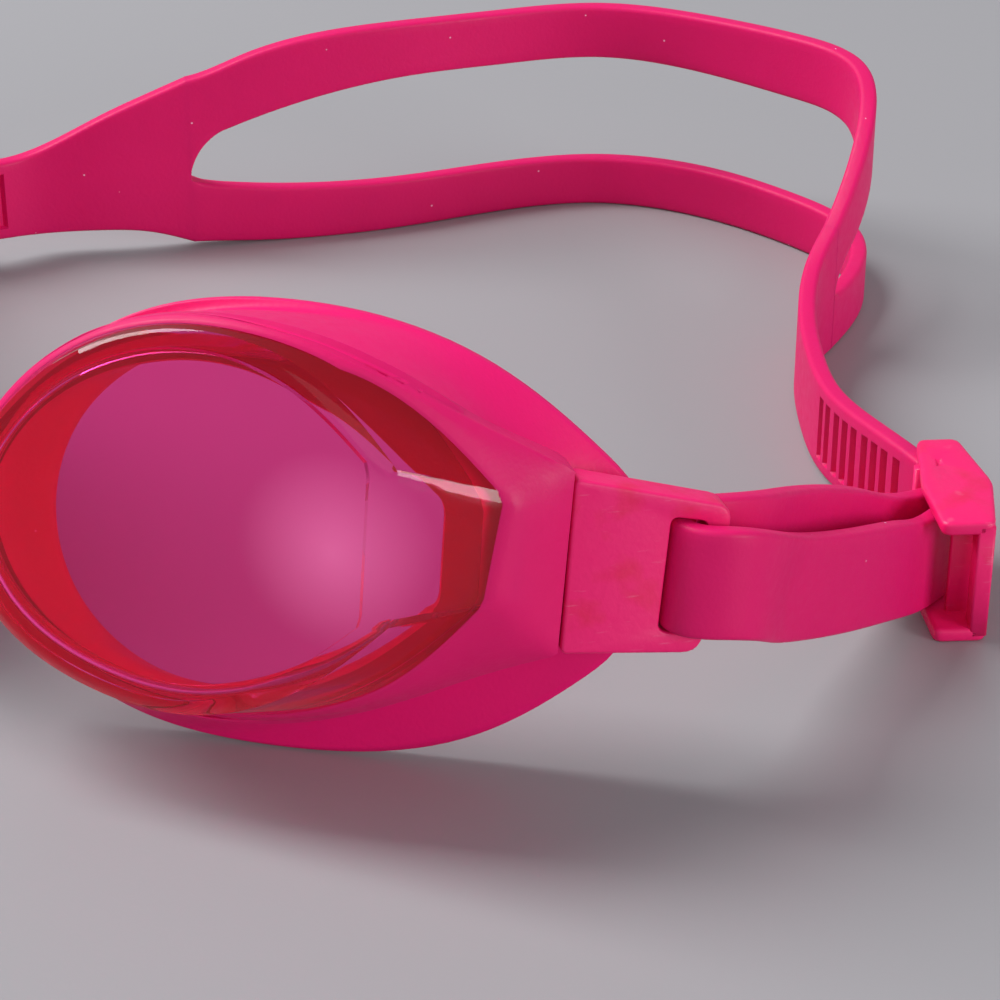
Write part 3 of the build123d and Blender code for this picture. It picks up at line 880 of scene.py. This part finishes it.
def nearest(points, place):
    """The index of the point closest to a place, seen from above."""
    return int(np.argmin(np.linalg.norm(points[:, :2] - place, axis=1)))


def closing(near):
    """1 where two strands meet, 0 past the reach of their crotch, round in between."""
    return 1 - math.sqrt(1 - max(0.0, 1 - near / CROTCH_REACH)**2)


def split_strand(strand, is_upper):
    """Sections of one of the two strands behind the head, from crotch to crotch."""
    (right, right_low, right_high), (left, left_low, left_high) = strand[0], strand[-1]
    slope, drop = (CROTCH_SLOPE, CROTCH_DROP) if is_upper else (0, 0)
    lead_in = (RIGHT_MAIN[1][0], right_low - slope, right_high)
    lead_out = (LEFT_MAIN[1][0], left_low - slope, left_high - drop)
    lows, highs, alongs, travelled = path_of(upright([lead_in, *strand, lead_out]), STRAND_STEP)
    first, last = nearest(lows, right), nearest(lows, left)
    rings = []
    for k in range(first, last + 1):
        from_right, from_left = travelled[k] - travelled[first], travelled[last] - travelled[k]
        near = min(from_right, from_left)
        if near > CROTCH_REACH and k % STRAND_SKIP:
            continue
        meeting = CROTCH_HEIGHTS[0 if from_right < from_left else 1]
        low, high = lows[k].copy(), highs[k].copy()
        edge = low if is_upper else high
        edge[2] += closing(near) * (meeting - edge[2])
        rounding = [STRAP_EDGE, STRAP_EDGE]
        rounding[0 if is_upper else 1] = max(STRAP_EDGE * ease(near / CROTCH_BLUNT), SHARP_EDGE)
        rings.append(strap_section(low, high, alongs[k], rounding))
    return rings


def make_back_strap():
    """Two strands behind the head, which part and meet in rounded crotches."""
    points, faces = joined([split_strand(LOWER_STRAND, False), split_strand(UPPER_STRAND, True)])
    return add_piece("head_strap_split", points, faces, STRAP_MATERIAL, crease=50)


# ---------------------------------------------------------------- assembly

def side_name(side, name):
    """The piece's name on the wearer's left (side 1) or right (side -1)."""
    return ("left_" if side > 0 else "right_") + name + "_look"


def row_place(x, y, z):
    """A design place in millimetres as a place in the row frame."""
    return tuple(DATUM + MM * np.array([x, y, z]))


def dress(piece, node):
    """Puts a piece in place of its CAD node, which it hides."""
    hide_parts(node)
    return piece


def make_eyecup(side):
    body, prefix = (LEFT, "left_") if side > 0 else (RIGHT, "right_")
    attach(dress(make_lens(side), prefix + "lens"), body)
    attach(dress(make_frame(side), prefix + "frame"), body)
    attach(dress(make_gasket(side), prefix + "gasket"), body)
    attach(dress(make_clip(side), prefix + "temple_clip"), body)
    # painted shade on the flange under the lens
    shade_piece = make_shade_band(side)
    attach(shade_piece, body)


def make_strap():
    """The strap's pieces: the main strap and strands at each side and the split strap behind the head, their
    transforms baked.
    """
    left = "left", LEFT_MAIN, LEFT_BUCKLE, LEFT_INNER, LEFT_OUTER, 1
    right = "right", RIGHT_MAIN, RIGHT_BUCKLE, RIGHT_INNER, RIGHT_OUTER, -1
    left_main, left_strands = make_side_strap(*left)
    right_main, right_strands = make_side_strap(*right)
    back = make_back_strap()
    dress(back, "head_strap")
    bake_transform(left_main)
    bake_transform(left_strands)
    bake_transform(right_main)
    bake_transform(right_strands)
    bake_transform(back)


def make_buckles():
    for name, place, side, body in (("left_buckle", LEFT_BUCKLE, 1, LEFT_SLIDE),
                                    ("right_buckle", RIGHT_BUCKLE, -1, RIGHT_SLIDE)):
        piece = make_buckle(name + "_look", place, side)
        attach(dress(piece, name), body)


def make_nose():
    bow = dress(make_bridge(), "nose_bridge")
    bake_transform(bow)


# ---------------------------------------------------------------- stage

CAMERA_PLACE = (176.3, -150.8, 146)
CAMERA_AZIMUTH = math.radians(38)
CAMERA_PITCH = math.radians(30)
CAMERA_LENS = 108
CAMERA_SENSOR = 36


def make_camera():
    data = bpy.data.cameras.new("camera")
    data.lens = CAMERA_LENS
    data.sensor_width = CAMERA_SENSOR
    data.clip_start = 0.01
    camera = bpy.data.objects.new("camera", data)
    bpy.context.scene.collection.objects.link(camera)
    level = Vector((-math.sin(CAMERA_AZIMUTH), math.cos(CAMERA_AZIMUTH), 0))
    look = level * math.cos(CAMERA_PITCH) - Vector((0, 0, math.sin(CAMERA_PITCH)))
    camera.location = row_place(*CAMERA_PLACE)
    camera.rotation_euler = look.to_track_quat("-Z", "Y").to_euler()
    bpy.context.scene.camera = camera


def make_floor():
    bpy.ops.mesh.primitive_plane_add(size=6)
    floor = bpy.context.object
    floor.name = "table"
    floor.data.materials.append(table_top("table_top", (0.335, 0.33, 0.345)))


def add_light(name, place, aim, size, power, color=(1, 1, 1)):
    data = bpy.data.lights.new(name, "AREA")
    data.shape = "RECTANGLE"
    data.size, data.size_y = size
    data.energy = power
    data.color = color
    light = bpy.data.objects.new(name, data)
    bpy.context.scene.collection.objects.link(light)
    light.location = place
    light.rotation_euler = (Vector(aim) - Vector(place)).to_track_quat("-Z", "Y").to_euler()


def make_lights():
    world = bpy.data.worlds.new("studio")
    bpy.context.scene.world = world
    world.use_nodes = True
    background = world.node_tree.nodes["Background"]
    background.inputs["Color"].default_value = (0.92, 0.94, 1.0, 1)
    background.inputs["Strength"].default_value = 0.34
    add_light("key", (-0.66, -0.28, 0.82), (0, 0, 0), (0.4, 0.9), 14.5)
    add_light("side", (1.7, 0.034, 0.41), (0, 0, 0.02), (0.61, 0.75), 14.5)
    add_light("fill", (0.6, -1.0, 0.5), (0, 0, 0.01), (0.9, 0.6), 1.2)
    bpy.context.scene.view_settings.view_transform = "Standard"


make_camera()
make_floor()
make_lights()
for each_side in (1, -1):
    make_eyecup(each_side)
make_strap()
make_buckles()
make_nose()
